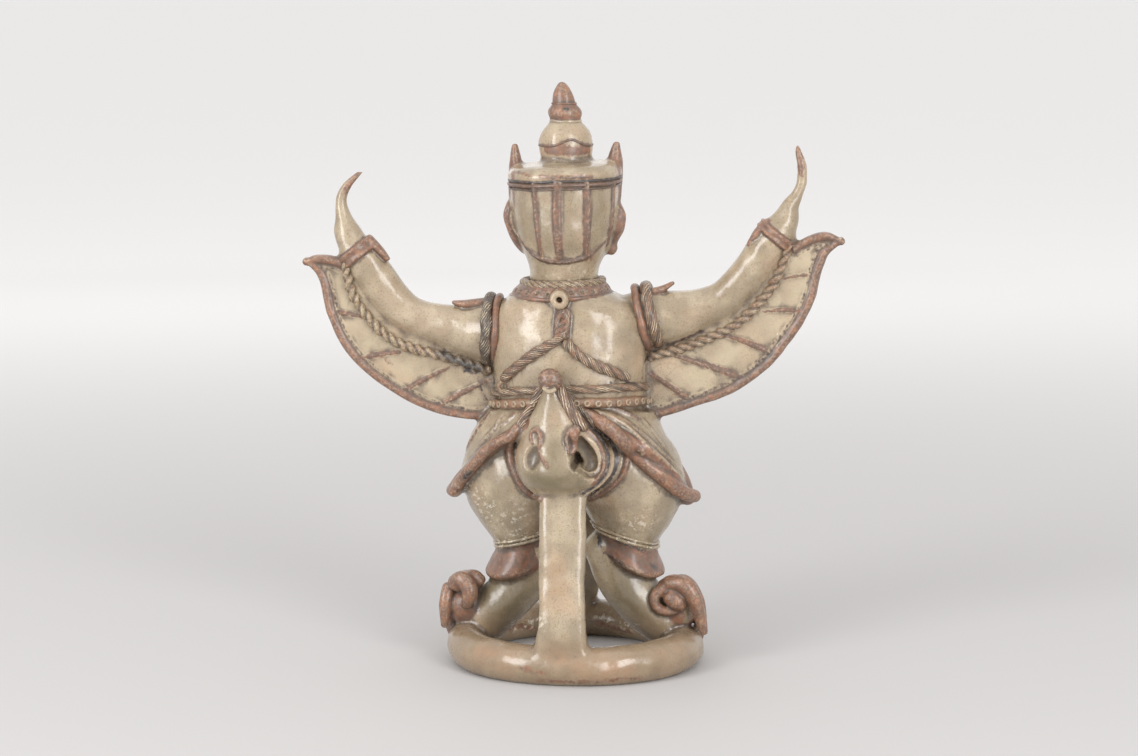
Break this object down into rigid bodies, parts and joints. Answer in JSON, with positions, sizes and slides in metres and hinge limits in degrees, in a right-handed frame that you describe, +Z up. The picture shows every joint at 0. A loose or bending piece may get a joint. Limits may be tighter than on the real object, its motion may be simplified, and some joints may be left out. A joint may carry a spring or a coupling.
{
  "type": "garuda figure",
  "caption": "Glazed stoneware garuda with raised arms, spread wings, crown and crossed cords, standing astride a ring base.",
  "frame": {"origin": "centre of the footprint box at the underside of the ring base", "axes": "+Z up, the figure faces -Y, its left hand is on +X"},
  "size_m": [0.2955, 0.136, 0.32],
  "materials": {
    "glazed_stoneware": "gloss"
  },
  "bodies": {
    "root": {"garuda_figure": "glazed_stoneware"}
  },
  "joints": []
}
